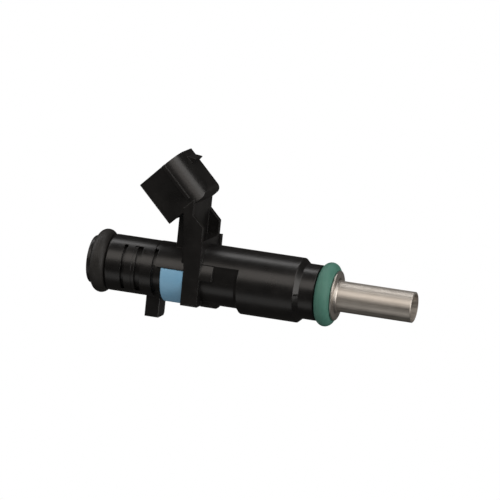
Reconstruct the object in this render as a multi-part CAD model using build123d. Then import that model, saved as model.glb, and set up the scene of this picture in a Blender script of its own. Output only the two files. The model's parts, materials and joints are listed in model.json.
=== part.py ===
from build123d import *
import os
from math import cos, radians, sin, sqrt

# Port fuel injector, built as it is assembled on the bench. Millimetres throughout.
# +X runs along the axis to the nozzle tip, +Z to the connector side, and the origin is on the axis
# at the middle of the manifold seal.

# ---- seals ---------------------------------------------------------------------------------
SEAL_SECTION = 3.53        # thickness of both O-rings
SEAL_OUTSIDE = 14.6        # outside diameter of both O-rings
SEAL_SPACING = 53.2        # from the manifold seal to the fuel rail seal
SEAL_SIDE_GAP = 0.1        # room beside an O-ring in its groove
TOUCH = 0.01               # gap that stands for a light contact

# ---- fuel passage --------------------------------------------------------------------------
TUBE_OUTER = 3.75          # radius of the inlet tube
TUBE_INNER = 3.05          # radius of the fuel passage
INLET_BORE = 3.25          # radius of the passage's mouth, down to the filter
INLET_STEP_GAP = 0.7       # from the end of that mouth to the filter's ring
NOZZLE_RADIUS = 3.5        # outside radius of the nozzle tube
NOZZLE_END = 20.15         # how far the nozzle tube reaches past the manifold seal
TUBE_LIP = 0.15            # how far the retainer ring stands past the inlet tube
EDGE_BREAK = 0.12          # small chamfer on turned steel edges

# ---- moulded body --------------------------------------------------------------------------
INLET_BARREL = 6.43        # radius of the ribbed inlet barrel
INLET_BARREL_END = -40.0
RIB_GROOVES = ((-47.1, 0.8), (-43.6, 1.3), (-39.75, 0.9))   # centre and width of each groove
RIB_GROOVE_DEPTH = 0.7
RIB_STEP = (1.5, 0.12)     # width and depth of the shallow step beside the middle groove
JOIN = 0.5                 # how far one part of the moulding is carried into the next
GROOVE_REACH = 52.0        # degrees up and down from the side that each groove covers
CORE = 5.5                 # radius of the moulding under the colour ring
PANEL_RADIUS = 6.5         # upper shell between the inlet barrel and the collar
PANEL_EDGE = 1.5           # height of that shell's lower edge
FOOT = (-41.9, -38.6)      # start and end of the foot under the barrel
FOOT_HALF = 2.45
FOOT_DROP = 10.8
FOOT_CHAMFER = 0.8
COLLAR = (-32.35, -28.5)
COLLAR_HALF = 7.1
COLLAR_DROP = 6.35
WAIST = 7.1                # radius of the rib just past the collar, above the axis and at the bottom
WAIST_END = -24.9
WAIST_SLOPE = 0.7
WAIST_FOOT_HALF = 3.6      # half the width of the rib's lower part
NECK = 6.3                 # radius of the neck before the coil barrel
SIDE_POCKET = (-25.6, 3.6)  # start of the flat pocket in the side and its upper edge
COIL_BARREL = 7.38
COIL_BARREL_START = -20.5
COIL_BARREL_END = -6.4
COIL_BARREL_SLOPE = 0.95   # slope at the collar end
NOSE_SLOPE = 1.15          # slope at the nozzle end
NOSE_BARREL = 6.32
PARTING_TAB = 0.35         # size of the small tabs on the mould's parting line
MOULD_ROUND = 0.25         # general rounding of moulded edges

# ---- connector arm and shell ---------------------------------------------------------------
ARM_WEB = (-33.4, -31.4)   # wall between the arm's side plates
ARM_WEB_HALF = 5.7
ARM_SPINE = (-35.85, 2.6)  # start and half width of the spine on the inlet side of that wall
ARM_PLATE = (-32.4, -28.8)  # side plates of the arm, at the collar
ARM_PLATE_LEAN = 1.3       # how far the plates widen towards the inlet at their top
ARM_SHOULDER = 12.0        # height where the plates slope back to the column
ARM_STEP = (0.75, 8.8)     # width and height of the step at the root of the far plate
SHELL_FOOT = (-36.8, 11.7)  # lower corner of the shell's closed end, as x and z
SHELL_TILT = 45.0          # degrees between the shell's axis and the injector's
SHELL_DEPTH = 11.0         # along its lower face
SHELL_SLANT = 0.2          # how much deeper it is along its upper face
SHELL_HEIGHT = 11.7
SHELL_SHOULDER = 2.3       # rounding of the closed end's upper edge
SHELL_RELIEF = (1.9, 6.2)  # size and half width of the relief cut under the closed end
SHELL_HALF = 7.05
SHELL_WALL = 1.3
SHELL_FLOOR = 1.9
SHELL_CORNER = 4.3         # rounding of the two upper corners
SHELL_LOWER_CORNER = 0.5
SHELL_RIDGE = (7.4, 0.7, 0.4)    # height up the side, width and stand-out of the side ridge
SHELL_RIDGE_START = 1.6
LOCK_WIDTH = 5.0
LOCK_RISE = 1.25
LOCK_RAMP = (1.4, 3.2)     # distances from the mouth where the lock's ramp ends and its step falls
LOCK_LEAN = (0.25, 0.15)   # lean of the lock's step, above and below its corner
KEY_SLOT = (1.4, 0.6)      # width and depth of the two key slots inside the shell
KEY_SLOT_START = 2.0       # from the shell's floor

# ---- colour ring ---------------------------------------------------------------------------
COLOUR_RING = (-37.8, -32.35)
COLOUR_RING_RADIUS = 7.05
COLOUR_RING_EDGE = 1.4
COLOUR_RING_ROUND = (0.3, 0.15)     # rounding at the inlet end and at the collar

# ---- coil ----------------------------------------------------------------------------------
CAN = (-19.6, -8.0)        # start and end of the coil's steel can
CAN_OUTER = 6.6
CAN_WALL = 0.55
CAN_PLATE = 0.8            # thickness of the can's closed end and of the flux washer
BOBBIN_HUB = 4.3
BOBBIN_FLANGE = 0.7
WINDING_OUTER = 5.8

# ---- terminals -----------------------------------------------------------------------------
BLADE_WIDTH = 2.0
BLADE_THICKNESS = 0.64
BLADE_SPACING = 4.6        # between the two blades' centres
BLADE_REACH = 7.0          # how far the blades stand past the shell's closed end
BLADE_RUN_Z = 4.6          # height of the terminals' straight run above the axis
BLADE_BEND = 0.9
BLADE_ROOM = (0.3, 0.28)   # room beside and under the blades in the flux washer

# ---- valve ---------------------------------------------------------------------------------
LIFT = 0.10                # travel of the armature and ball
STOP_GAP = 0.02            # gap that is left between armature and pole at full lift
ARMATURE_START = -13.4
ARMATURE_LENGTH = 6.2
ARMATURE_CLEARANCE = 0.05  # radial, between the armature and its bore
ARMATURE_BORE = 0.75
POLE_LENGTH = 13.0
SPRING_BORE = 1.5          # radius of the bore that holds the spring and its adjusting tube
SPRING_SEAT_DEPTH = 1.2
SPRING_WIRE = 0.2          # radius of the spring wire
SPRING_MEAN = 1.2
SPRING_TURNS = 7
SPRING_LENGTH = 6.0
SPRING_END_GAP = 0.05      # between the spring's ends and what they press on
ADJUSTER_LENGTH = 8.0
ADJUSTER_BORE = 0.95
ADJUSTER_SLIT = 0.35
NEEDLE_OUTER = 1.1
NEEDLE_INNER = 0.7
NEEDLE_PRESS = 3.0         # length of needle tube pressed into the armature
NEEDLE_PORT = 0.45         # radius of the needle tube's cross holes
NEEDLE_PORTS = ((3.0, 0), (5.0, 90))   # distance from the ball's end and turn of each hole
BALL = 1.6
BALL_CENTRE = 15.1
BALL_CLEARANCE = 0.02      # radial, between the ball and its guide
SEAT_GAP = 0.005           # closed gap between ball and seat cone
SEAT_ANGLE = 45.0          # half angle of the seat cone
SEAT_THROAT = 0.5
SEAT_LENGTH = 2.0
GUIDE_LENGTH = 1.2
GUIDE_PAST_BALL = 0.6      # from the ball's centre to the guide's end
GUIDE_SLOT = 0.55
GUIDE_SLOT_OUT = 0.2       # from the ball's surface to the middle of each slot
GUIDE_SLOTS = 5
PLATE_THICKNESS = 0.25
SPRAY_HOLE = 0.12
SPRAY_CIRCLE = 0.3
SPRAY_HOLES = 4
RING_START, RING_END = -16.5, -11.5   # non-magnetic ring across the working gap

# ---- inlet filter --------------------------------------------------------------------------
INLET_RECESS = 5.0         # from the tube's mouth to the filter's ring
FILTER_RING = 1.3
FILTER_COLLAR_WALL = 0.3
FILTER_RING_WALL = 0.9     # wall of the filter's ring
FILTER_RIB = (0.5, 0.8)    # height and width of the basket's ribs
FILTER_RIBS = 4
FILTER_LENGTH = 9.0
FILTER_CAP = 0.7
FILTER_JOIN = 0.3          # how far the ribs run into the ring and the cap
GAUZE = 0.2

# ---- rings at the seals --------------------------------------------------------------------
FLANGE_RADIUS = 5.65
FLANGE_THICKNESS = 0.4
FLANGE_FILLET = 0.6        # flare from the flange down to the nozzle tube
FLANGE_ROUND = 0.12
RETAINER_RADIUS = 5.45
RETAINER_LENGTH = 0.95
RETAINER_ROUND = (0.4, 0.15)        # rounding at the inlet face and at the seal

# ---- what follows from them ----------------------------------------------------------------
SEAL_MEAN = (SEAL_OUTSIDE - SEAL_SECTION) / 2
GROOVE_HALF = SEAL_SECTION / 2 + SEAL_SIDE_GAP
MOULDING_START = -SEAL_SPACING + GROOVE_HALF
MOULDING_END = -GROOVE_HALF
FLANGE_FACE = GROOVE_HALF + FLANGE_THICKNESS
FLANGE_FOOT = FLANGE_FACE + FLANGE_FILLET
FLANGE_SEAT_END = FLANGE_FOOT - (TUBE_OUTER - NOZZLE_RADIUS)
RETAINER_END = -SEAL_SPACING - GROOVE_HALF
RETAINER_START = RETAINER_END - RETAINER_LENGTH
TUBE_START = RETAINER_START + TUBE_LIP
POLE_END = ARMATURE_START - LIFT - STOP_GAP
POLE_START = POLE_END - POLE_LENGTH
ARMATURE_END = ARMATURE_START + ARMATURE_LENGTH
SPRING_END = ARMATURE_START + SPRING_SEAT_DEPTH
SPRING_START = SPRING_END - SPRING_LENGTH
GUIDE_END = BALL_CENTRE + GUIDE_PAST_BALL
SEAT_END = GUIDE_END + SEAT_LENGTH
FILTER_START = TUBE_START + INLET_RECESS
FILTER_NECK = TUBE_INNER - FILTER_COLLAR_WALL - FILTER_RING_WALL   # radius inside the filter's ring
UP = Vector(sin(radians(SHELL_TILT)), 0, cos(radians(SHELL_TILT)))     # across the shell
OUT = Vector(-cos(radians(SHELL_TILT)), 0, sin(radians(SHELL_TILT)))   # out of the shell's mouth


# ---- helpers -------------------------------------------------------------------------------
def side_face(*outline):
    """A flat face in the XZ plane from (x, z) or (x, z, rounding) corners."""
    rounding = [corner[2] if len(corner) > 2 else 0 for corner in outline]
    points = [corner[:2] for corner in outline]
    return Plane.XZ * make_face(FilletPolyline(*points, radius=rounding, close=True))


def turned(*outline):
    """A solid turned about the injector's axis from (x, radius) or (x, radius, rounding) corners."""
    return revolve(side_face(*outline), Axis.X)


def ring(start, end, inner, outer):
    return turned((start, inner), (end, inner), (end, outer), (start, outer))


def broken_ring(start, end, inner, outer, edge=EDGE_BREAK):
    """A ring whose outside edges have a small chamfer."""
    return turned((start, inner), (end, inner), (end, outer - edge), (end - edge, outer),
                  (start + edge, outer), (start, outer - edge))


def bar(start, end, radius):
    return turned((start, 0), (end, 0), (end, radius), (start, radius))


def block(x, y, z):
    """A box from pairs of limits."""
    return Pos(sum(x) / 2, sum(y) / 2, sum(z) / 2) * Box(x[1] - x[0], y[1] - y[0], z[1] - z[0])


def slab(outline, near, far):
    """An outline in the XZ plane made thick from y = near to y = far."""
    return Pos(0, far, 0) * extrude(side_face(*outline), far - near)


def shell_plane(depth, height=0.0):
    """The plane across the connector shell, depth out from its closed end and height up from its corner."""
    corner = Vector(SHELL_FOOT[0], 0, SHELL_FOOT[1]) + OUT * depth + UP * height
    return Plane(origin=corner, x_dir=(0, 1, 0), z_dir=OUT)


def torus(x):
    """An O-ring lying across the axis at x."""
    return Pos(x, 0, 0) * (Rot(0, 90, 0) * Torus(SEAL_MEAN - TOUCH, SEAL_SECTION / 2 - TOUCH))


# ---- moulded body --------------------------------------------------------------------------
def inlet_barrel():
    barrel = turned(
        (MOULDING_START, TUBE_OUTER), (INLET_BARREL_END, TUBE_OUTER),
        (INLET_BARREL_END, INLET_BARREL, MOULD_ROUND), (MOULDING_START, INLET_BARREL, MOULD_ROUND * 2),
    )
    barrel += ring(INLET_BARREL_END, COLLAR[0], TUBE_OUTER, CORE)
    wedge_z = INLET_BARREL * sin(radians(GROOVE_REACH))
    reach = block((MOULDING_START, COLLAR[0]), (-COIL_BARREL, COIL_BARREL), (-wedge_z, wedge_z))
    upper = ring(INLET_BARREL_END, COLLAR[0], CORE, PANEL_RADIUS)
    over = block((INLET_BARREL_END, COLLAR[0]), (-COIL_BARREL, COIL_BARREL), (PANEL_EDGE, COIL_BARREL))
    barrel += upper & over
    for centre, width in RIB_GROOVES:
        cut = ring(centre - width / 2, centre + width / 2, INLET_BARREL - RIB_GROOVE_DEPTH, COIL_BARREL)
        barrel -= cut & reach
    middle, width = RIB_GROOVES[1]
    step = ring(middle - width / 2 - RIB_STEP[0] / 2, middle, INLET_BARREL - RIB_STEP[1], COIL_BARREL)
    return barrel - (step & reach)


def foot():
    outline = ((FOOT[0], 0), (FOOT[1], 0), (FOOT[1], -FOOT_DROP, 0), (FOOT[0], -FOOT_DROP, 0))
    leg = slab(outline, -FOOT_HALF, FOOT_HALF)
    leg = chamfer(leg.edges().group_by(Axis.Z)[0].group_by(Axis.Y)[-1], FOOT_CHAMFER)
    leg = fillet(leg.edges().filter_by(Axis.Z), MOULD_ROUND)
    return leg - bar(FOOT[0] - 1, FOOT[1] + 1, CORE - 1)


def collar():
    body = block(COLLAR, (-COLLAR_HALF, COLLAR_HALF), (-COLLAR_DROP, ARM_STEP[1]))
    return fillet(body.edges().filter_by(Axis.X).group_by(Axis.Z)[0], MOULD_ROUND * 2)


def barrels():
    """The rib, the neck with its side pockets, the coil barrel and the nose barrel."""
    start = COLLAR[1] - JOIN
    body = turned(
        (start, TUBE_OUTER), (MOULDING_END, TUBE_OUTER), (MOULDING_END, NOSE_BARREL, MOULD_ROUND),
        (COIL_BARREL_END + NOSE_SLOPE, NOSE_BARREL, MOULD_ROUND),
        (COIL_BARREL_END, COIL_BARREL, MOULD_ROUND),
        (COIL_BARREL_START + COIL_BARREL_SLOPE, COIL_BARREL, MOULD_ROUND),
        (COIL_BARREL_START, NECK), (start, NECK),
    )
    pocket_x, pocket_z = SIDE_POCKET
    rib = turned((start, NECK - 1), (WAIST_END, NECK - 1), (WAIST_END, NECK),
                 (WAIST_END - WAIST_SLOPE, WAIST, MOULD_ROUND), (start, WAIST))
    body += rib & block((start, pocket_x), (-COIL_BARREL, COIL_BARREL), (0, COIL_BARREL))
    body += rib & block((start, WAIST_END), (-WAIST_FOOT_HALF, WAIST_FOOT_HALF), (-COIL_BARREL, 0))
    saddle_end = COIL_BARREL_START + 2 * COIL_BARREL_SLOPE
    saddle = ring(start, saddle_end, NECK - 1, COIL_BARREL)
    body += saddle & block((start, saddle_end), (-COIL_BARREL, COIL_BARREL), (pocket_z, COIL_BARREL))
    for side in (-1, 1):
        y = sorted((side * TUBE_OUTER, side * NECK))
        body += block((pocket_x, COIL_BARREL_START + COIL_BARREL_SLOPE), y, (0, pocket_z))
        shoulder_y = side * (NOSE_BARREL + COIL_BARREL) / 2
        tab = Box(3 * PARTING_TAB, 2 * PARTING_TAB, PARTING_TAB)
        body += Pos(COIL_BARREL_END + NOSE_SLOPE / 2, shoulder_y, 0) * tab
    return body


def arm_base(x):
    """Height of the shell's closed end above a point of the arm."""
    return SHELL_FOOT[1] + (x - SHELL_FOOT[0]) * UP.Z / UP.X


def arm():
    """The column that carries the connector, open between two side plates towards the nozzle."""
    sink = 2 * JOIN
    root = PANEL_EDGE + sink
    web = slab(((ARM_WEB[0], root), (ARM_WEB[1], root), (ARM_WEB[1], arm_base(ARM_WEB[1]) + sink),
                (ARM_WEB[0], arm_base(ARM_WEB[0]) + sink)), -ARM_WEB_HALF, ARM_WEB_HALF)
    slope_x = ARM_PLATE[1] - ARM_WEB[1]
    lean_x = ARM_PLATE[0] - ARM_PLATE_LEAN
    outline = ((ARM_PLATE[0], root), (ARM_PLATE[1], root), (ARM_PLATE[1], ARM_SHOULDER),
               (ARM_WEB[1], ARM_SHOULDER + slope_x), (ARM_WEB[1], arm_base(ARM_WEB[1]) + sink),
               (lean_x, arm_base(lean_x) + sink))
    spine_x, spine_half = ARM_SPINE
    spine = ((spine_x, root), (ARM_WEB[1], root), (ARM_WEB[1], arm_base(ARM_WEB[1]) + sink),
             (spine_x, arm_base(spine_x) + sink))
    body = web + slab(spine, -spine_half, spine_half)
    for near, far in ((-COLLAR_HALF, -ARM_WEB_HALF), (ARM_WEB_HALF, COLLAR_HALF)):
        body += slab(outline, near, far)
    step_x = (ARM_PLATE[1] - sink, ARM_PLATE[1] + ARM_STEP[0])
    body += block(step_x, (ARM_WEB_HALF, COLLAR_HALF), (root, ARM_STEP[1]))
    return body


def shell_slab(outline, half):
    """A slab with an outline of (depth, height[, rounding]) points from the shell's lower corner."""
    corner = Vector(SHELL_FOOT[0], 0, SHELL_FOOT[1])
    placed = [corner + OUT * depth + UP * height for depth, height, *_ in outline]
    return slab([(p.X, p.Z, *point[2:]) for p, point in zip(placed, outline)], -half, half)


def shell_outline(grow, corner, low_corner):
    """The shell's cross-section, made smaller by -grow on each side."""
    half, low, high = SHELL_HALF + grow, -grow, SHELL_HEIGHT + grow
    points = ((-half, low), (half, low), (half, high), (-half, high))
    rounding = (low_corner, low_corner, corner, corner)
    return make_face(FilletPolyline(*points, radius=rounding, close=True))


def shell_section(depth, grow, corner, low_corner):
    """That cross-section placed across the shell, upright."""
    corner_plane = shell_plane(depth)
    upright = Plane(origin=corner_plane.origin, x_dir=(0, -1, 0), z_dir=OUT)
    return upright * shell_outline(grow, corner, low_corner)


def connector_shell():
    """The box round the blades: slanted mouth, rounded upper corners, side ridges and the plug's lock."""
    mouth = SHELL_DEPTH + SHELL_SLANT
    shell = extrude(shell_section(0, 0, SHELL_CORNER, SHELL_LOWER_CORNER), mouth, dir=OUT)
    height, width, rise = SHELL_RIDGE
    length = mouth - SHELL_RIDGE_START
    middle = shell_plane(SHELL_RIDGE_START + length / 2, height)
    shell += middle * Box(2 * (SHELL_HALF + rise), width, length)
    ramp, step = (mouth - distance for distance in LOCK_RAMP)
    top, sunk = SHELL_HEIGHT, SHELL_HEIGHT - JOIN
    lean, undercut = LOCK_LEAN
    shell += shell_slab(((ramp, sunk), (ramp, top), (step + lean, top + LOCK_RISE), (step, top + LOCK_RISE),
                         (step - undercut, sunk)), LOCK_WIDTH / 2)
    over = top + 2 * LOCK_RISE
    side = ((0, 0), (SHELL_DEPTH, 0), (mouth, top), (mouth, over), (SHELL_SHOULDER * 1.5, over),
            (SHELL_SHOULDER * 1.5, top), (0, top, SHELL_SHOULDER))
    shell &= shell_slab(side, SHELL_HALF + 2 * rise)
    size, half = SHELL_RELIEF
    return shell - shell_slab(((-1, -1), (size + 1, -1), (-1, size + 1)), half)


def connector_cavity():
    depth = SHELL_DEPTH + SHELL_SLANT - SHELL_FLOOR + 1
    inside = shell_section(SHELL_FLOOR, -SHELL_WALL, SHELL_CORNER - SHELL_WALL, MOULD_ROUND)
    cavity = extrude(inside, depth, dir=OUT)
    slot_width, slot_depth = KEY_SLOT
    for side in (-1, 1):
        middle = shell_plane(SHELL_FLOOR + KEY_SLOT_START + depth / 2, SHELL_WALL - slot_depth / 2)
        cavity += middle * Pos(side * SHELL_HALF / 2, 0, 0) * Box(slot_width, slot_depth + 2 * TOUCH, depth)
    return cavity


def core_space():
    """The room that the inlet tube, the coil can and the nozzle tube take in the moulding."""
    return bar(MOULDING_START - 1, MOULDING_END + 1, TUBE_OUTER) + bar(CAN[0], CAN[1], CAN_OUTER)


def overmold_body(terminals):
    body = inlet_barrel() + foot() + collar() + barrels() + arm() + connector_shell()
    body -= connector_cavity()
    body -= core_space()
    for blade in terminals:
        body -= blade
    return body


def colour_ring():
    (start, end), (start_round, end_round) = COLOUR_RING, COLOUR_RING_ROUND
    band = turned((start, CORE), (end, CORE), (end, COLOUR_RING_RADIUS, end_round),
                  (start, COLOUR_RING_RADIUS, start_round))
    band &= block(COLOUR_RING, (-COLLAR_HALF, COLLAR_HALF), (-COLLAR_HALF, COLOUR_RING_EDGE))
    leg = block((FOOT[0], FOOT[1]), (-FOOT_HALF, FOOT_HALF), (-FOOT_DROP, 0))
    return band - leg


# ---- tubes and magnetic circuit ------------------------------------------------------------
def inlet_tube():
    tube = broken_ring(TUBE_START, RING_START, TUBE_INNER, TUBE_OUTER)
    return tube - bar(TUBE_START, FILTER_START - INLET_STEP_GAP, INLET_BORE)


def nonmagnetic_ring():
    return ring(RING_START, RING_END, TUBE_INNER, TUBE_OUTER)


def valve_body():
    """Nozzle tube: thick up to the flange ring's seat, thin where it stands out past it."""
    edge = EDGE_BREAK
    return turned(
        (RING_END, TUBE_INNER), (NOZZLE_END, TUBE_INNER), (NOZZLE_END, NOZZLE_RADIUS - edge),
        (NOZZLE_END - edge, NOZZLE_RADIUS), (FLANGE_FOOT, NOZZLE_RADIUS),
        (FLANGE_SEAT_END, TUBE_OUTER), (RING_END, TUBE_OUTER),
    )


def pole_piece():
    return broken_ring(POLE_START, POLE_END, SPRING_BORE, TUBE_INNER)


def coil_housing():
    inner = CAN_OUTER - CAN_WALL
    return turned((CAN[0], inner), (CAN[1] - CAN_PLATE, inner), (CAN[1] - CAN_PLATE, TUBE_OUTER),
                  (CAN[1], TUBE_OUTER), (CAN[1], CAN_OUTER), (CAN[0], CAN_OUTER))


def flux_washer():
    washer = ring(CAN[0], CAN[0] + CAN_PLATE, TUBE_OUTER, CAN_OUTER - CAN_WALL)
    beside, under = BLADE_ROOM
    half = (BLADE_SPACING + BLADE_WIDTH) / 2 + beside
    bottom = BLADE_RUN_Z - BLADE_THICKNESS / 2 - under
    return washer - block((CAN[0] - 1, CAN[0] + CAN_PLATE + 1), (-half, half), (bottom, CAN_OUTER))


def coil_bobbin():
    start, end, outer = CAN[0] + CAN_PLATE, CAN[1] - CAN_PLATE, CAN_OUTER - CAN_WALL
    return turned((start, TUBE_OUTER), (end, TUBE_OUTER), (end, outer), (end - BOBBIN_FLANGE, outer),
                  (end - BOBBIN_FLANGE, BOBBIN_HUB), (start + BOBBIN_FLANGE, BOBBIN_HUB),
                  (start + BOBBIN_FLANGE, outer), (start, outer))


def coil_winding():
    start, end = CAN[0] + CAN_PLATE + BOBBIN_FLANGE, CAN[1] - CAN_PLATE - BOBBIN_FLANGE
    return ring(start, end, BOBBIN_HUB, WINDING_OUTER)


def terminal(side):
    """A bent blade: from the bobbin back to the arm, up the arm and out into the shell."""
    y = side * BLADE_SPACING / 2
    middle = Vector(SHELL_FOOT[0], 0, SHELL_FOOT[1]) + UP * (SHELL_HEIGHT / 2)
    tip = middle + OUT * BLADE_REACH
    root = Vector(CAN[0] + CAN_PLATE, 0, BLADE_RUN_Z)
    points = [(root.X, y, root.Z), (middle.X, y, root.Z), (middle.X, y, middle.Z), (tip.X, y, tip.Z)]
    path = FilletPolyline(*points, radius=BLADE_BEND)
    start = Plane(origin=path @ 0, x_dir=(0, 1, 0), z_dir=path % 0)
    return sweep(start * Rectangle(BLADE_WIDTH, BLADE_THICKNESS), path=path)


# ---- valve ---------------------------------------------------------------------------------
def armature():
    outer = TUBE_INNER - ARMATURE_CLEARANCE
    body = broken_ring(ARMATURE_START, ARMATURE_END, ARMATURE_BORE, outer)
    body -= bar(ARMATURE_START, SPRING_END, SPRING_BORE)
    return body - bar(ARMATURE_END - NEEDLE_PRESS, ARMATURE_END, NEEDLE_OUTER)


def ball_at(radius):
    return Pos(BALL_CENTRE, 0, 0) * Sphere(radius)


def needle_tube():
    start, end = ARMATURE_END - NEEDLE_PRESS, BALL_CENTRE - sqrt(BALL**2 - NEEDLE_OUTER**2)
    tube = ring(start, end, NEEDLE_INNER, NEEDLE_OUTER) - ball_at(BALL)
    for distance, turn in NEEDLE_PORTS:
        port = Cylinder(NEEDLE_PORT, 4 * NEEDLE_OUTER)
        tube -= Pos(end - distance, 0, 0) * (Rot(turn, 0, 0) * port)
    return tube


def needle_guide():
    guide = ring(GUIDE_END - GUIDE_LENGTH, GUIDE_END, BALL + BALL_CLEARANCE, TUBE_INNER)
    drill = Rot(0, 90, 0) * Cylinder(GUIDE_SLOT, 2 * GUIDE_LENGTH)
    slot = Pos(GUIDE_END - GUIDE_LENGTH / 2, 0, BALL + GUIDE_SLOT_OUT) * drill
    for number in range(GUIDE_SLOTS):
        guide -= Rot(360 / GUIDE_SLOTS * number, 0, 0) * slot
    return guide


def valve_seat():
    """A cone that the ball closes, with a short throat below it."""
    tilt = radians(SEAT_ANGLE)
    reach = (BALL + SEAT_GAP) / cos(tilt)
    mouth = (BALL_CENTRE + reach - GUIDE_END) / (1 / (sin(tilt) / cos(tilt)))
    throat_x = BALL_CENTRE + reach - SEAT_THROAT / (sin(tilt) / cos(tilt))
    return turned((GUIDE_END, mouth), (throat_x, SEAT_THROAT), (SEAT_END, SEAT_THROAT),
                  (SEAT_END, TUBE_INNER), (GUIDE_END, TUBE_INNER))


def orifice_plate():
    plate = bar(SEAT_END, SEAT_END + PLATE_THICKNESS, TUBE_INNER)
    hole = Pos(SEAT_END, 0, SPRAY_CIRCLE) * (Rot(0, 90, 0) * Cylinder(SPRAY_HOLE, 4 * PLATE_THICKNESS))
    for number in range(SPRAY_HOLES):
        plate -= Rot(360 / SPRAY_HOLES * number, 0, 0) * hole
    return plate


def adjusting_tube():
    tube = ring(SPRING_START - ADJUSTER_LENGTH, SPRING_START, ADJUSTER_BORE, SPRING_BORE)
    return tube - block((SPRING_START - ADJUSTER_LENGTH - 1, SPRING_START + 1),
                        (-ADJUSTER_SLIT / 2, ADJUSTER_SLIT / 2), (0, SPRING_BORE + 1))


def return_spring():
    inset = SPRING_WIRE + SPRING_END_GAP
    length, start = SPRING_LENGTH - 2 * inset, SPRING_START + inset
    path = Helix(length / SPRING_TURNS, length, SPRING_MEAN, center=(start, 0, 0), direction=(1, 0, 0))
    section = Plane(origin=path @ 0, z_dir=path % 0) * Circle(SPRING_WIRE)
    return sweep(section, path=path, is_frenet=True)


# ---- inlet filter --------------------------------------------------------------------------
def filter_collar():
    return ring(FILTER_START, FILTER_START + FILTER_RING, TUBE_INNER - FILTER_COLLAR_WALL, TUBE_INNER)


def filter_frame():
    rib_height, rib_width = FILTER_RIB
    start = FILTER_START + FILTER_RING
    end = start + FILTER_LENGTH
    frame = ring(FILTER_START, start, FILTER_NECK, TUBE_INNER - FILTER_COLLAR_WALL)
    frame += bar(end, end + FILTER_CAP, FILTER_NECK + rib_height)
    for number in range(FILTER_RIBS):
        rib_x = (start - FILTER_JOIN, end + FILTER_JOIN)
        rib = block(rib_x, (-rib_width / 2, rib_width / 2), (0, FILTER_NECK + rib_height))
        frame += Rot(360 / FILTER_RIBS * number, 0, 0) * (rib - bar(start - 1, end, FILTER_NECK))
    return frame


def filter_mesh():
    start = FILTER_START + FILTER_RING
    return ring(start, start + FILTER_LENGTH, FILTER_NECK - GAUZE, FILTER_NECK)


# ---- rings at the seals --------------------------------------------------------------------
def inlet_retainer_ring():
    start, end = RETAINER_START, RETAINER_END
    start_round, end_round = RETAINER_ROUND
    return turned((start, TUBE_OUTER), (end, TUBE_OUTER),
                  (end, RETAINER_RADIUS, end_round), (start, RETAINER_RADIUS, start_round))


def nose_flange_ring():
    """A thin flange, pressed on the nozzle tube's shoulder, that holds the manifold seal on."""
    hollow = FLANGE_FILLET / 5
    return turned(
        (GROOVE_HALF, TUBE_OUTER), (FLANGE_SEAT_END, TUBE_OUTER),
        (FLANGE_FACE + hollow, TUBE_OUTER + hollow), (FLANGE_FACE, NOZZLE_RADIUS + FLANGE_FILLET),
        (FLANGE_FACE, FLANGE_RADIUS, FLANGE_ROUND), (GROOVE_HALF, FLANGE_RADIUS, FLANGE_ROUND),
    )


# ---- the assembly --------------------------------------------------------------------------
terminals = {"terminal_left": terminal(1), "terminal_right": terminal(-1)}
pieces = {
    "overmold_body": overmold_body(terminals.values()),
    "colour_ring": colour_ring(),
    "inlet_oring": torus(-SEAL_SPACING),
    "nose_oring": torus(0),
    "inlet_retainer_ring": inlet_retainer_ring(),
    "nose_flange_ring": nose_flange_ring(),
    "inlet_tube": inlet_tube(),
    "nonmagnetic_ring": nonmagnetic_ring(),
    "valve_body": valve_body(),
    "filter_collar": filter_collar(),
    "filter_frame": filter_frame(),
    "filter_mesh": filter_mesh(),
    "adjusting_tube": adjusting_tube(),
    "pole_piece": pole_piece(),
    "return_spring": return_spring(),
    "coil_bobbin": coil_bobbin(),
    "coil_winding": coil_winding(),
    "coil_housing": coil_housing(),
    "flux_washer": flux_washer(),
    "armature": armature(),
    "needle_tube": needle_tube(),
    "valve_ball": ball_at(BALL),
    "needle_guide": needle_guide(),
    "valve_seat": valve_seat(),
    "orifice_plate": orifice_plate(),
    **terminals,
}

os.makedirs("parts", exist_ok=True)
for name, solid in pieces.items():
    print(name, "solids", len(solid.solids()), "volume", round(solid.volume, 3))
    export_step(solid, f"parts/{name}.step")
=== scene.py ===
# %% [markdown]
# # A port fuel injector, finished in Blender
# The injector comes from CAD as separate pieces that already have their true shape and size.
# Blender's work here is what CAD leaves out: the finish of each material, the fine wound and
# woven pieces, and a small studio. A shape could also be modelled again by eye, but then it
# would no longer fit the real seals and bores, so every CAD piece stays where it is.

# %% Load the frame
import json
import math

import bpy
from mathutils import Matrix, Vector


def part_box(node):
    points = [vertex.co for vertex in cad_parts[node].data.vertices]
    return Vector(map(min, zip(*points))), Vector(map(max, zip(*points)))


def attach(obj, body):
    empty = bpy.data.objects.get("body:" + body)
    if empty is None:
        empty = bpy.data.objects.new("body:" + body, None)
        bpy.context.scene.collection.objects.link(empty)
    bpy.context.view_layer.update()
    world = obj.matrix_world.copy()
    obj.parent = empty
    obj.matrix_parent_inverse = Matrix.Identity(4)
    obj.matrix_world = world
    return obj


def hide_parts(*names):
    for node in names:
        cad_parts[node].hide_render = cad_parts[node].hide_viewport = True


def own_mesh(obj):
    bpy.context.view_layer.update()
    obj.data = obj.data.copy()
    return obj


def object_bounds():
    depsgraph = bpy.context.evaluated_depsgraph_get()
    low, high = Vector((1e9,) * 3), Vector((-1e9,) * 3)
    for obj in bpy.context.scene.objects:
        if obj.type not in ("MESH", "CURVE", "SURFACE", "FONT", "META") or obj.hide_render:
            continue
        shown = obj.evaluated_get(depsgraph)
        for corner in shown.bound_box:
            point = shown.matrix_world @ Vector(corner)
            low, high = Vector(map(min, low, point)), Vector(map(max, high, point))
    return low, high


MM = 0.001
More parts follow.
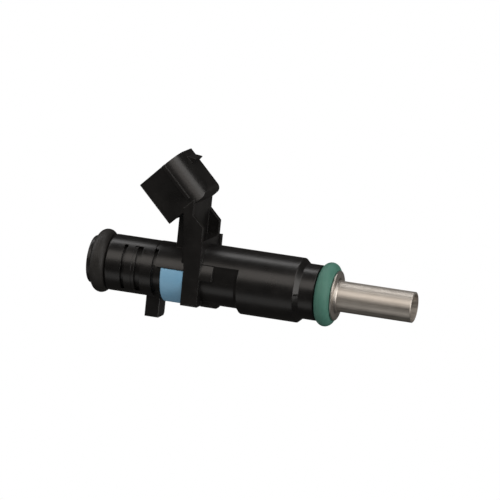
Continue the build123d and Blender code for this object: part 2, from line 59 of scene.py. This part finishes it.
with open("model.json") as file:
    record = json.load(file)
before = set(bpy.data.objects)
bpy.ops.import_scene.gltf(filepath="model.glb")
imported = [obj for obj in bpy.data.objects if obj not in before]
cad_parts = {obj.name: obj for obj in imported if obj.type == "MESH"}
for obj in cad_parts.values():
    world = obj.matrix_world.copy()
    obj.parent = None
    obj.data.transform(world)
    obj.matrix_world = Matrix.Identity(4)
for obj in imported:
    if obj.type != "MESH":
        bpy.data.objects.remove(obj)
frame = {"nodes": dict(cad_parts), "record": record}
cad_low, cad_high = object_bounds()
object_length = cad_high.x - cad_low.x
object_middle = (cad_low + cad_high) / 2
print("pieces from CAD:", len(frame["nodes"]), "length in mm:", round(object_length / MM, 2))

# %% [markdown]
# ## The camera
# A small part is usually shot with a long lens from more than a metre away, so that its near
# and far sides keep the same size. An orthographic camera would do nearly the same, but a long
# lens keeps a trace of perspective. The camera looks down a little, from the nozzle's side,
# and it is rolled so that the injector seems to hang with its nozzle low.

# %% Camera
AZIMUTH, ELEVATION, ROLL = (math.radians(a) for a in (16.0, 10.0, 5.75))
SENSOR_MM, LENS_MM = 36.0, 400.0
NEAREST, FARTHEST = 0.1, 20.0             # metres, the range that the camera can see
FRAME_SHARE = 1.4815                      # width of the view over the injector's length
AIM_OFFSET_MM = Vector((-1.355, 0.0, -1.185))     # from the middle of the injector's box

FRAME_WIDTH = FRAME_SHARE * object_length
AIM = object_middle + AIM_OFFSET_MM * MM

backward = Vector((math.sin(AZIMUTH) * math.cos(ELEVATION),
                   -math.cos(AZIMUTH) * math.cos(ELEVATION), math.sin(ELEVATION)))
level_right = Vector((math.cos(AZIMUTH), math.sin(AZIMUTH), 0.0))
level_up = backward.cross(level_right)
right = level_right * math.cos(ROLL) + level_up * math.sin(ROLL)
up = level_up * math.cos(ROLL) - level_right * math.sin(ROLL)
distance = FRAME_WIDTH * LENS_MM / SENSOR_MM

camera_data = bpy.data.cameras.new("studio_camera")
camera_data.lens, camera_data.sensor_width = LENS_MM, SENSOR_MM
camera_data.clip_start, camera_data.clip_end = NEAREST, FARTHEST
camera = bpy.data.objects.new("studio_camera", camera_data)
bpy.context.scene.collection.objects.link(camera)
bpy.context.scene.camera = camera
camera.matrix_world = (Matrix.Translation(AIM + backward * distance)
                       @ Matrix((right, up, backward)).transposed().to_4x4())
print("camera distance in m:", round(distance, 3))

# %% [markdown]
# ## The studio
# Black plastic has almost no colour of its own, so what shows its shape is what it reflects.
# Three long softboxes lie along the injector: one high and a little behind it draws a thin
# bright line, a broad one before it gives the middle a soft sheen, and a weak one low in front
# lifts the underside. Smaller lights reach the nozzle, the inlet and the connector, and a dim
# sheet of paper behind shows in the flange and along the outlines. One big dome would be
# simpler, but it would leave the barrels flat and grey.

# %% Softboxes
LIGHT_DISTANCE = 0.8
MIRROR_SHIFT = -0.28        # how far towards the inlet the camera sees the lights reflected, per metre
AREA_LIGHT_POWER = 4        # watts for one square metre that shines with a radiance of one


def softbox(name, towards, size, radiance, colour):
    """An area light at `towards` from the injector, with its length along the injector's axis."""
    data = bpy.data.lights.new(name, "AREA")
    data.shape, data.size, data.size_y = "RECTANGLE", size[0], size[1]
    data.energy = AREA_LIGHT_POWER * radiance * size[0] * size[1]
    data.color = colour
    light = bpy.data.objects.new(name, data)
    bpy.context.scene.collection.objects.link(light)
    facing = towards.normalized()
    along = (Vector((1, 0, 0)) - facing * facing.x).normalized()
    across = facing.cross(along)
    light.matrix_world = (Matrix.Translation(AIM + towards)
                          @ Matrix((along, across, facing)).transposed().to_4x4())
    light.visible_camera = False


def above(angle):
    """A place at that angle above the horizon, before the injector or past 90 degrees behind it."""
    a = math.radians(angle)
    return Vector((MIRROR_SHIFT, -math.cos(a), math.sin(a))) * LIGHT_DISTANCE


softbox("top_strip", above(104), (1.5, 0.22), 2.3, (1.0, 0.985, 0.98))
softbox("front_panel", above(37), (1.7, 0.50), 1.3, (1.0, 0.93, 0.87))
softbox("low_fill", above(-50), (1.5, 0.40), 0.42, (1.0, 0.98, 0.96))
softbox("shell_light", Vector((0.45, -0.30, 0.58)), (0.45, 0.45), 1.8, (1.0, 0.97, 0.94))
softbox("nozzle_side", Vector((0.75, -0.22, 0.10)), (0.6, 0.6), 2.2, (1.0, 0.97, 0.94))
softbox("inlet_side", Vector((-0.8, 0.1, 0.3)), (0.5, 0.5), 1.2, (1.0, 0.98, 0.97))
softbox("back_paper", Vector((0.68, 0.7, -0.14)), (0.5, 0.4), 0.32, (1.0, 0.97, 0.94))
print("lights:", sorted(light.name for light in bpy.data.lights))

# %% [markdown]
# ## The floor and the room
# The floor and the background are plain white paper, lit so much that they show no shadow.
# Only the camera sees them so bright. To the injector the room is dim, as a real studio is
# beyond its lamps, and that keeps the edges of the black barrels dark.

# %% Floor and world
FLOOR_DROP = 45 * MM
FLOOR_SIZE = 6.0
ROOM_SCATTERED = 0.30       # strength of the room in light that a surface scatters
ROOM_REFLECTED = 0.035      # and its strength in reflections


def node(tree, kind, values=None, **settings):
    """A new node with its settings, and its inputs set to numbers or linked to sockets."""
    made = tree.nodes.new(kind)
    for name, value in settings.items():
        setattr(made, name, value)
    for name, value in (values or {}).items():
        if isinstance(value, bpy.types.NodeSocket):
            tree.links.new(value, made.inputs[name])
        else:
            made.inputs[name].default_value = value
    return made


def floor_material():
    """White paper from above, and clear from below, so that a low view isn't blocked."""
    made = bpy.data.materials.new("white_paper")
    made.use_nodes = True
    tree = made.node_tree
    tree.nodes.clear()
    paper = node(tree, "ShaderNodeEmission", {"Color": (1, 1, 1, 1), "Strength": 1.0})
    clear = node(tree, "ShaderNodeBsdfTransparent")
    side = node(tree, "ShaderNodeNewGeometry")
    both = node(tree, "ShaderNodeMixShader", {0: side.outputs["Backfacing"], 1: paper.outputs[0],
                                              2: clear.outputs[0]})
    node(tree, "ShaderNodeOutputMaterial", {"Surface": both.outputs[0]})
    return made


def lay_floor():
    """A square of that paper, which only the camera sees."""
    half = FLOOR_SIZE / 2
    corners = [(-half, -half), (half, -half), (half, half), (-half, half)]
    height = cad_low.z - FLOOR_DROP
    mesh = bpy.data.meshes.new("floor")
    mesh.from_pydata([(x, y, height) for x, y in corners], [], [(0, 1, 2, 3)])
    mesh.materials.append(floor_material())
    floor = bpy.data.objects.new("floor", mesh)
    bpy.context.scene.collection.objects.link(floor)
    floor.visible_diffuse = floor.visible_glossy = floor.visible_shadow = False


def paint_world():
    """White to the camera, and a dim room to the injector."""
    world = bpy.data.worlds.new("studio")
    bpy.context.scene.world = world
    world.use_nodes = True
    tree = world.node_tree
    tree.nodes.clear()
    ray = node(tree, "ShaderNodeLightPath")
    white = node(tree, "ShaderNodeBackground", {"Color": (1, 1, 1, 1), "Strength": 1.0})
    fill = node(tree, "ShaderNodeBackground", {"Color": (1, 0.98, 0.96, 1), "Strength": ROOM_SCATTERED})
    room = node(tree, "ShaderNodeBackground", {"Color": (1, 0.95, 0.9, 1), "Strength": ROOM_REFLECTED})
    unseen = node(tree, "ShaderNodeMixShader", {0: ray.outputs["Is Diffuse Ray"], 1: room.outputs[0],
                                                2: fill.outputs[0]})
    seen = node(tree, "ShaderNodeMixShader", {0: ray.outputs["Is Camera Ray"], 1: unseen.outputs[0],
                                              2: white.outputs[0]})
    node(tree, "ShaderNodeOutputWorld", {"Surface": seen.outputs[0]})


lay_floor()
paint_world()
bpy.context.scene.view_settings.view_transform = "Standard"
print("floor below the injector in mm:", FLOOR_DROP / MM)

# %% [markdown]
# ## Effects that several finishes share
# Grain, tool lines, scratches, seams and softened edges appear on more than one material, so
# each is a node group, built once. A group gives out heights, masks and normals, and each
# material decides how strongly to use them. Image textures would also work, but noise in the
# object's own millimetres stays sharp at any size and needs no unwrapping.


# %% Group: eroded mould grain
def start_group(name, inputs, outputs):
    """A new shader group with float inputs and the named outputs."""
    group = bpy.data.node_groups.new(name, "ShaderNodeTree")
    for socket, value in inputs:
        made = group.interface.new_socket(socket, in_out="INPUT", socket_type="NodeSocketFloat")
        made.default_value = value
    for socket, kind in outputs:
        group.interface.new_socket(socket, in_out="OUTPUT", socket_type=kind)
    return group, node(group, "NodeGroupInput"), node(group, "NodeGroupOutput")


def math_node(tree, operation, first, second=0.0, third=0.0):
    made = node(tree, "ShaderNodeMath", {0: first, 1: second, 2: third}, operation=operation)
    return made.outputs[0]


def scaled_place(tree, per_mm, stretch=(1.0, 1.0, 1.0)):
    """The object's own coordinates in millimetres, stretched, times a count per millimetre."""
    place = node(tree, "ShaderNodeTexCoord").outputs["Object"]
    in_mm = node(tree, "ShaderNodeVectorMath", {0: place, 1: [s / MM for s in stretch]},
                 operation="MULTIPLY").outputs[0]
    return node(tree, "ShaderNodeVectorMath", {0: in_mm, "Scale": per_mm}, operation="SCALE").outputs[0]


def mould_grain_group():
    """The fine sparked skin of an injection mould, and the cloudy gloss over it."""
    group, given, out = start_group(
        "mould_grain", [("Grains per mm", 7.0), ("Clouds per mm", 0.25)],
        [("Height", "NodeSocketFloat"), ("Clouds", "NodeSocketFloat")])
    fine = node(group, "ShaderNodeTexNoise", {"Vector": scaled_place(group, given.outputs[0]),
                                              "Scale": 1.0, "Detail": 2.0, "Roughness": 0.6})
    broad = node(group, "ShaderNodeTexNoise", {"Vector": scaled_place(group, given.outputs[1]),
                                               "Scale": 1.0, "Detail": 4.0, "Roughness": 0.55})
    group.links.new(fine.outputs[0], out.inputs["Height"])
    group.links.new(broad.outputs[0], out.inputs["Clouds"])
    return group


mould_grain = mould_grain_group()
print("group:", mould_grain.name)


# %% Groups: turning and drawing lines
BROAD_LINES = 0.22          # broad streaks for each fine line
FINE_PART = 0.5             # how strongly the fine lines show in the streaks


def line_group(name, stretch, per_mm):
    """Fine parallel tool lines: stretch is long along the lines and short across them."""
    group, given, out = start_group(name, [("Lines per mm", per_mm)],
                                    [("Height", "NodeSocketFloat"), ("Streaks", "NodeSocketFloat")])
    fine = node(group, "ShaderNodeTexNoise",
                {"Vector": scaled_place(group, given.outputs[0], stretch),
                 "Scale": 1.0, "Detail": 3.0, "Roughness": 0.7})
    slow = math_node(group, "MULTIPLY", given.outputs[0], BROAD_LINES)
    broad = node(group, "ShaderNodeTexNoise",
                 {"Vector": scaled_place(group, slow, stretch), "Scale": 1.0, "Detail": 2.0})
    streaks = math_node(group, "MULTIPLY_ADD", fine.outputs[0], FINE_PART, broad.outputs[0])
    centred = math_node(group, "SUBTRACT", streaks, FINE_PART / 2)
    group.links.new(fine.outputs[0], out.inputs["Height"])
    group.links.new(centred, out.inputs["Streaks"])
    return group


turned_lines = line_group("turned_lines", stretch=(1.0, 0.015, 0.015), per_mm=9.0)
drawn_lines = line_group("drawn_lines", stretch=(0.012, 1.0, 1.0), per_mm=7.0)
print("groups:", turned_lines.name, drawn_lines.name)


# %% Group: fine scratches from handling
SCRATCH_TURNS = ((0.3, 0.2, 0.9), (-0.5, 0.9, 0.25))      # radians, the two directions
SCRATCH_STRETCH = (0.08, 1.0, 1.0)
SCRATCH_BAND = 0.0025       # how near the noise is to its middle value in a scratch


def scratch_group():
    """A few hairlines in two directions, where a stretched noise crosses a narrow band."""
    group, given, out = start_group("hair_scratches", [("Scratches per mm", 0.8)],
                                    [("Scratches", "NodeSocketFloat")])
    lines = []
    for turn in SCRATCH_TURNS:
        place = scaled_place(group, given.outputs[0])
        turned_place = node(group, "ShaderNodeVectorRotate", {"Vector": place, "Rotation": turn},
                            rotation_type="EULER_XYZ").outputs[0]
        long_way = node(group, "ShaderNodeVectorMath", {0: turned_place, 1: SCRATCH_STRETCH},
                        operation="MULTIPLY").outputs[0]
        noise = node(group, "ShaderNodeTexNoise", {"Vector": long_way, "Scale": 1.0, "Detail": 1.0})
        gap = math_node(group, "ABSOLUTE", math_node(group, "SUBTRACT", noise.outputs[0], 0.5))
        lines.append(math_node(group, "LESS_THAN", gap, SCRATCH_BAND))
    group.links.new(math_node(group, "MAXIMUM", lines[0], lines[1]), out.inputs["Scratches"])
    return group


hair_scratches = scratch_group()
print("group:", hair_scratches.name)


# %% Groups: mould seam and softened edges
EDGE_SAMPLES = 6            # rays that the Bevel node sends out at each point


def seam_group():
    """A thin raised line where two halves of a mould met, across the axis or along it."""
    group, given, out = start_group(
        "mould_seam", [("Across at", 0.0), ("Along X", 0.0), ("Half width", 0.05)],
        [("Height", "NodeSocketFloat")])
    place = node(group, "ShaderNodeSeparateXYZ", {0: scaled_place(group, 1.0)})
    across = math_node(group, "SUBTRACT", place.outputs["X"], given.outputs["Across at"])
    chosen = node(group, "ShaderNodeMix", {0: given.outputs["Along X"], 2: across,
                                           3: place.outputs["Z"]}, data_type="FLOAT").outputs[0]
    away = math_node(group, "DIVIDE", math_node(group, "ABSOLUTE", chosen), given.outputs["Half width"])
    ridge = node(group, "ShaderNodeMapRange", {"Value": away, "From Min": 1.0, "From Max": 0.0},
                 interpolation_type="SMOOTHSTEP").outputs[0]
    group.links.new(ridge, out.inputs["Height"])
    return group


def soft_edge_group():
    """Sharp CAD edges, rounded in the shading as every moulded or machined edge is."""
    group, given, out = start_group("soft_edges", [("Radius mm", 0.12)], [("Normal", "NodeSocketVector")])
    metres = math_node(group, "MULTIPLY", given.outputs[0], MM)
    edge = node(group, "ShaderNodeBevel", {"Radius": metres}, samples=EDGE_SAMPLES)
    group.links.new(edge.outputs[0], out.inputs["Normal"])
    return group


mould_seam = seam_group()
soft_edges = soft_edge_group()
print("groups:", mould_seam.name, soft_edges.name)

# %% [markdown]
# ## The finishes
# Each finish is one function that fills a material: a Principled shader, the groups it needs,
# and its own numbers. A height is in millimetres, so the Bump node's distance is a millimetre
# and the strength says how much of it shows.


# %% Shared steps of every finish
def start_material(name, metallic=0.0, roughness=0.4, specular=0.5):
    made = bpy.data.materials.new(name)
    made.use_nodes = True
    tree = made.node_tree
    tree.nodes.clear()
    shader = node(tree, "ShaderNodeBsdfPrincipled", {
        "Metallic": metallic, "Roughness": roughness, "Specular IOR Level": specular})
    node(tree, "ShaderNodeOutputMaterial", {"Surface": shader.outputs[0]})
    return made, tree, shader


def use_group(tree, group, **values):
    """A group placed in a material; underscores in the names stand for spaces."""
    made = node(tree, "ShaderNodeGroup", node_tree=group)
    for name, value in values.items():
        made.inputs[name.replace("_", " ")].default_value = value
    return made


def remap(tree, value, low, high, start=0.3, end=0.7):
    """A noise value spread from its usual range to low and high."""
    return node(tree, "ShaderNodeMapRange", {"Value": value, "From Min": start, "From Max": end,
                                             "To Min": low, "To Max": high}).outputs[0]


def blend_colours(tree, mask, first, second):
    mixed = node(tree, "ShaderNodeMix", {0: mask, 6: (*first, 1), 7: (*second, 1)}, data_type="RGBA")
    return mixed.outputs[2]


def bump_chain(tree, shader, heights, edge_radius):
    """Bumps on top of softened edges; heights are (socket, depth in mm) pairs."""
    normal = use_group(tree, soft_edges, Radius_mm=edge_radius).outputs[0]
    for height, depth in heights:
        normal = node(tree, "ShaderNodeBump", {"Height": height, "Normal": normal, "Distance": depth * MM,
                                               "Strength": 1.0}).outputs[0]
    tree.links.new(normal, shader.inputs["Normal"])


# %% [markdown]
# ### Moulded nylon
# The body is glass-filled nylon: nearly black, satin, with a fine sparked grain, cloudy gloss
# where the resin cooled unevenly, a few hairlines and a seam along the middle of each side.


# %% Moulded plastics
PLASTIC_SCRATCH = 0.12      # roughness that a scratch adds


def moulded_plastic(name, dark, light, roughness, grain_depth, seam_depth, edge_radius):
    made, tree, shader = start_material(name)
    grain = use_group(tree, mould_grain)
    scratches = use_group(tree, hair_scratches)
    seam = use_group(tree, mould_seam, Along_X=1.0, Half_width=0.07)
    low, high = roughness
    clouded = remap(tree, grain.outputs["Clouds"], low, high)
    scratched = math_node(tree, "MULTIPLY_ADD", scratches.outputs[0], PLASTIC_SCRATCH, clouded)
    tree.links.new(scratched, shader.inputs["Roughness"])
    colour = blend_colours(tree, remap(tree, grain.outputs["Clouds"], 0.0, 1.0), dark, light)
    tree.links.new(colour, shader.inputs["Base Color"])
    bump_chain(tree, shader, [(grain.outputs["Height"], grain_depth), (seam.outputs[0], seam_depth)],
               edge_radius)
    return made


finishes = {
    "black_moulding": moulded_plastic(
        "black_moulding", dark=(0.0050, 0.0047, 0.0046), light=(0.0085, 0.0079, 0.0075),
        roughness=(0.27, 0.34), grain_depth=0.003, seam_depth=0.007, edge_radius=0.16),
    "black_moulding_fine": moulded_plastic(
        "black_moulding_fine", dark=(0.006, 0.0057, 0.0055), light=(0.009, 0.0085, 0.0083),
        roughness=(0.30, 0.42), grain_depth=0.003, seam_depth=0.0, edge_radius=0.1),
    "blue_moulding": moulded_plastic(
        "blue_moulding", dark=(0.150, 0.335, 0.500), light=(0.185, 0.375, 0.540),
        roughness=(0.42, 0.55), grain_depth=0.004, seam_depth=0.0, edge_radius=0.15),
    "bobbin_plastic": moulded_plastic(
        "bobbin_plastic", dark=(0.010, 0.010, 0.010), light=(0.016, 0.015, 0.015),
        roughness=(0.35, 0.45), grain_depth=0.004, seam_depth=0.015, edge_radius=0.1),
    "filter_plastic": moulded_plastic(
        "filter_plastic", dark=(0.52, 0.46, 0.33), light=(0.60, 0.54, 0.41),
        roughness=(0.38, 0.5), grain_depth=0.003, seam_depth=0.01, edge_radius=0.08),
}
print("moulded finishes:", sorted(finishes))

# %% [markdown]
# ### Rubber
# O-rings come out of a two-part mould too: matte, very finely grained, with a hair-thin flash
# line round the outside. The manifold seal is green fluoroelastomer, the rail seal black.


# %% Rubber seals
RUBBER_GRAIN, FLASH_LINE = 0.005, 0.02    # heights in mm


def rubber(name, seal, dark, light, roughness):
    made, tree, shader = start_material(name, specular=0.34)
    low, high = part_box(seal)
    middle = (low.x + high.x) / 2 / MM
    grain = use_group(tree, mould_grain, Grains_per_mm=12.0, Clouds_per_mm=0.5)
    seam = use_group(tree, mould_seam, Across_at=middle, Half_width=0.06)
    tree.links.new(remap(tree, grain.outputs["Clouds"], *roughness), shader.inputs["Roughness"])
    colour = blend_colours(tree, remap(tree, grain.outputs["Clouds"], 0.0, 1.0), dark, light)
    tree.links.new(colour, shader.inputs["Base Color"])
    bump_chain(tree, shader, [(grain.outputs["Height"], RUBBER_GRAIN), (seam.outputs[0], FLASH_LINE)],
               edge_radius=0.05)
    return made


finishes["black_seal"] = rubber("black_seal", "inlet_oring", dark=(0.0125, 0.0116, 0.0106),
                                light=(0.0190, 0.0177, 0.0164), roughness=(0.46, 0.58))
finishes["green_seal"] = rubber("green_seal", "nose_oring", dark=(0.050, 0.150, 0.116),
                                light=(0.063, 0.174, 0.135), roughness=(0.45, 0.60))
print("seals done")

# %% [markdown]
# ### Metals
# Turned pieces carry fine rings round the axis, drawn tubes carry lines along it, and both
# scatter the light across their lines. Anisotropic shading would do it with one number, but
# real lines in the roughness and the bump also break the highlight up unevenly, as steel does.


# %% Steels, brass, tin and copper
METAL_SCRATCH = 0.10        # roughness that a scratch adds
STREAK_SHARE = 0.6          # of the colour's change that follows the tool lines


def lined_metal(name, lines, dark, light, roughness, line_depth, per_mm, edge_radius=0.08):
    made, tree, shader = start_material(name, metallic=1.0)
    tool = use_group(tree, lines, Lines_per_mm=per_mm)
    grain = use_group(tree, mould_grain, Clouds_per_mm=0.35)
    scratches = use_group(tree, hair_scratches)
    streaked = remap(tree, tool.outputs["Streaks"], *roughness)
    scratched = math_node(tree, "MULTIPLY_ADD", scratches.outputs[0], METAL_SCRATCH, streaked)
    tree.links.new(scratched, shader.inputs["Roughness"])
    mask = math_node(tree, "MULTIPLY_ADD", tool.outputs["Streaks"], STREAK_SHARE,
                     math_node(tree, "MULTIPLY", grain.outputs["Clouds"], 1 - STREAK_SHARE))
    tree.links.new(blend_colours(tree, remap(tree, mask, 0.0, 1.0), dark, light), shader.inputs["Base Color"])
    bump_chain(tree, shader, [(tool.outputs["Height"], line_depth)], edge_radius)
    return made


finishes["turned_steel"] = lined_metal(
    "turned_steel", turned_lines, dark=(0.46, 0.43, 0.39), light=(0.60, 0.56, 0.52),
    roughness=(0.34, 0.48), line_depth=0.006, per_mm=9.0)
finishes["nozzle_steel"] = lined_metal(
    "nozzle_steel", drawn_lines, dark=(0.52, 0.48, 0.43), light=(0.66, 0.62, 0.57),
    roughness=(0.40, 0.54), line_depth=0.003, per_mm=6.0)
finishes["tube_steel"] = lined_metal(
    "tube_steel", drawn_lines, dark=(0.48, 0.45, 0.42), light=(0.60, 0.57, 0.54),
    roughness=(0.28, 0.42), line_depth=0.004, per_mm=8.0)
finishes["can_steel"] = lined_metal(
    "can_steel", drawn_lines, dark=(0.36, 0.35, 0.34), light=(0.46, 0.45, 0.44),
    roughness=(0.35, 0.5), line_depth=0.005, per_mm=5.0)
finishes["polished_steel"] = lined_metal(
    "polished_steel", turned_lines, dark=(0.62, 0.61, 0.60), light=(0.70, 0.69, 0.68),
    roughness=(0.07, 0.14), line_depth=0.001, per_mm=14.0, edge_radius=0.03)
finishes["spring_wire"] = lined_metal(
    "spring_wire", drawn_lines, dark=(0.46, 0.45, 0.44), light=(0.58, 0.57, 0.56),
    roughness=(0.2, 0.32), line_depth=0.002, per_mm=12.0, edge_radius=0.02)
finishes["brass"] = lined_metal(
    "brass", turned_lines, dark=(0.62, 0.42, 0.17), light=(0.74, 0.53, 0.24),
    roughness=(0.22, 0.36), line_depth=0.004, per_mm=10.0)
finishes["tinned_blade"] = lined_metal(
    "tinned_blade", drawn_lines, dark=(0.60, 0.59, 0.56), light=(0.72, 0.71, 0.68),
    roughness=(0.25, 0.38), line_depth=0.003, per_mm=6.0, edge_radius=0.05)
finishes["copper_winding"] = lined_metal(
    "copper_winding", turned_lines, dark=(0.50, 0.17, 0.07), light=(0.62, 0.25, 0.11),
    roughness=(0.18, 0.28), line_depth=0.001, per_mm=10.0, edge_radius=0.02)
print("metals done, finishes in all:", len(finishes))

# %% [markdown]
# ### Gauze thread
# The filter's gauze is woven from nylon thread. Its threads are modelled below, so its finish
# only needs the colour of the thread and a soft gloss.


# %% Finish of the gauze thread
THREAD_GRAIN = 0.002        # height in mm


def thread_finish():
    made, tree, shader = start_material("filter_gauze", roughness=0.45)
    grain = use_group(tree, mould_grain, Grains_per_mm=20.0, Clouds_per_mm=1.5)
    colour = blend_colours(tree, remap(tree, grain.outputs["Clouds"], 0.0, 1.0),
                           (0.46, 0.42, 0.32), (0.60, 0.56, 0.45))
    tree.links.new(colour, shader.inputs["Base Color"])
    bump_chain(tree, shader, [(grain.outputs["Height"], THREAD_GRAIN)], edge_radius=0.01)
    return made


finishes["filter_gauze"] = thread_finish()
print("made:", finishes["filter_gauze"].name)

# %% [markdown]
# ## Finishes on the CAD pieces
# The frame's record says what each piece is made of, so a loop hands the finishes out. They
# could be given by name one at a time, but the loop can't forget a piece, and a finish that is
# missing stops the script.

# %% Give each CAD piece its finish
for entry in frame["record"]["subparts"]:
    piece = frame["nodes"][entry["node"]]
    piece.data.materials.clear()
    piece.data.materials.append(finishes[entry["material_slot"]])

# %% [markdown]
# ## Wound and woven pieces
# Wire and thread are long round strands that follow a path. A curve with a bevel would draw
# them, but one mesh function gives full control over closed ends, so the spring, the coil and
# the gauze all use it: it carries a small ring of points along the path.


# %% A strand along a path
def strand(path, radius, sides, closed=False):
    """Points and faces of a round strand along a list of points."""
    count = len(path)
    points, faces = [], []
    side = None
    for number, place in enumerate(path):
        ahead = path[(number + 1) % count] if closed or number < count - 1 else place
        behind = path[number - 1] if closed or number > 0 else place
        along = (ahead - behind).normalized()
        guess = side if side is not None else along.orthogonal()
        side = (guess - along * guess.dot(along)).normalized()
        other = along.cross(side)
        for step in range(sides):
            turn = 2 * math.pi * step / sides
            points.append(place + (side * math.cos(turn) + other * math.sin(turn)) * radius)
    for ring in range(count if closed else count - 1):
        for step in range(sides):
            here, there = ring * sides, (ring + 1) % count * sides
            after = (step + 1) % sides
            faces.append((here + step, here + after, there + after, there + step))
    if not closed:
        faces.append(tuple(reversed(range(sides))))
        faces.append(tuple(range((count - 1) * sides, count * sides)))
    return points, faces


def strands_piece(name, strands, slot, replaced):
    """One mesh from several strands, standing for a CAD piece and riding with its body."""
    points, faces = [], []
    for more_points, more_faces in strands:
        start = len(points)
        points += more_points
        faces += [tuple(start + corner for corner in face) for face in more_faces]
    mesh = bpy.data.meshes.new(name)
    mesh.from_pydata([tuple(p) for p in points], [], faces)
    mesh.shade_smooth()
    mesh.materials.append(finishes[slot])
    piece = bpy.data.objects.new(name, mesh)
    bpy.context.scene.collection.objects.link(piece)
    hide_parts(replaced)
    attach(piece, "injector")
    print(name, "points:", len(points))
    return piece


short_strand = strand([Vector((0, 0, 0)), Vector((MM, 0, 0))], radius=MM, sides=6)
print("a strand with two rings of six points has this many faces:", len(short_strand[1]))


# %% [markdown]
# ### Return spring
# A compression spring has open coils in the middle and closed ends that sit flat. It is fixed
# at the adjusting tube and is pressed 0.1 mm shorter as the needle lifts; here it keeps one
# length and rides with the injector's body.


# %% Return spring
SPRING_WIRE = 0.2 * MM      # radius of the wire
SPRING_SIDES = 12
SPRING_TURNS = 7
SPRING_CLOSED = 1.0         # turns that lie closed at each end
SPRING_STEPS = 30           # points in each turn
CLOSED_PITCH = 2.05         # wire radii from one closed turn to the next


def spring_path(low, high):
    """A helix whose turns nearly touch at the ends and are evenly open in between."""
    reach = high.y - SPRING_WIRE
    span = high.x - low.x - 2 * SPRING_WIRE
    closed_pitch = CLOSED_PITCH * SPRING_WIRE
    open_pitch = (span - 2 * SPRING_CLOSED * closed_pitch) / (SPRING_TURNS - 2 * SPRING_CLOSED)
    path, along = [], low.x + SPRING_WIRE
    for step in range(SPRING_TURNS * SPRING_STEPS + 1):
        turns = step / SPRING_STEPS
        angle = 2 * math.pi * turns
        path.append(Vector((along, reach * math.cos(angle), reach * math.sin(angle))))
        at_end = min(turns, SPRING_TURNS - turns) < SPRING_CLOSED
        along += (closed_pitch if at_end else open_pitch) / SPRING_STEPS
    return path


spring_low, spring_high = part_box("return_spring")
spring_strand = strand(spring_path(spring_low, spring_high), SPRING_WIRE, SPRING_SIDES)
spring = strands_piece("return_spring_wire", [spring_strand], "spring_wire", "return_spring")
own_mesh(spring)

# %% [markdown]
# ### Coil winding
# The coil is one enamelled wire, laid in layers that run forward and back along the bobbin.


# %% Coil winding
WINDING_WIRE = 0.125 * MM   # radius of the wire
WINDING_PITCH = 2.06        # wire radii from one turn to the next
WINDING_DEPTH = 1.5 * MM
WINDING_STEPS = 24          # points in each turn
WINDING_SIDES = 6


def winding_path(low, high):
    """One path through every layer, forward in the even ones and back in the odd ones."""
    layers = int(WINDING_DEPTH / (2 * WINDING_WIRE))
    per_layer = int((high.x - low.x) / (WINDING_PITCH * WINDING_WIRE)) - 1
    travel = high.x - low.x - 2 * WINDING_WIRE
    path = []
    for layer in range(layers):
        reach = high.y - WINDING_DEPTH + WINDING_WIRE * (2 * layer + 1)
        for step in range(per_layer * WINDING_STEPS):
            share = step / (per_layer * WINDING_STEPS)
            share = share if layer % 2 == 0 else 1 - share
            angle = 2 * math.pi * step / WINDING_STEPS
            path.append(Vector((low.x + WINDING_WIRE + travel * share,
                                reach * math.cos(angle), reach * math.sin(angle))))
    return path


winding_strand = strand(winding_path(*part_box("coil_winding")), WINDING_WIRE, WINDING_SIDES)
strands_piece("coil_winding_wire", [winding_strand], "copper_winding", "coil_winding")

# %% [markdown]
# ### Filter gauze
# The inlet filter's gauze is a plain weave on a cylinder: threads along it pass over and under
# rings round it. A net pattern with see-through holes would be lighter, but it would look flat
# from the inlet, where the gauze is seen from close by.

# %% Filter gauze
THREAD = 0.05 * MM          # radius of a thread
THREAD_SIDES = 6
THREADS_ALONG = 34
THREADS_ROUND = 26
WEAVE_STEPS = 4             # points from one crossing to the next


def gauze_strands(low, high):
    """Threads along the cylinder, then rings round it, over and under each other in turn."""
    reach = high.y - 2 * THREAD
    pitch = (high.x - low.x - 2 * THREAD) / (THREADS_ROUND - 1)
    made = []
    for number in range(THREADS_ALONG):
        angle = 2 * math.pi * number / THREADS_ALONG
        outward = Vector((0, math.cos(angle), math.sin(angle)))
        path = []
        for step in range((THREADS_ROUND - 1) * WEAVE_STEPS + 1):
            crossing = step / WEAVE_STEPS
            wave = THREAD * math.cos(math.pi * (crossing + number))
            path.append(Vector((low.x + THREAD + pitch * crossing, 0, 0)) + outward * (reach + wave))
        made.append(strand(path, THREAD, THREAD_SIDES))
    for number in range(THREADS_ROUND):
        path = []
        for step in range(THREADS_ALONG * WEAVE_STEPS):
            crossing = step / WEAVE_STEPS
            angle = 2 * math.pi * crossing / THREADS_ALONG
            wave = reach - THREAD * math.cos(math.pi * (crossing + number))
            path.append(Vector((low.x + THREAD + pitch * number, wave * math.cos(angle),
                                wave * math.sin(angle))))
        made.append(strand(path, THREAD, THREAD_SIDES, closed=True))
    return made


strands_piece("filter_gauze_weave", gauze_strands(*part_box("filter_mesh")), "filter_gauze", "filter_mesh")
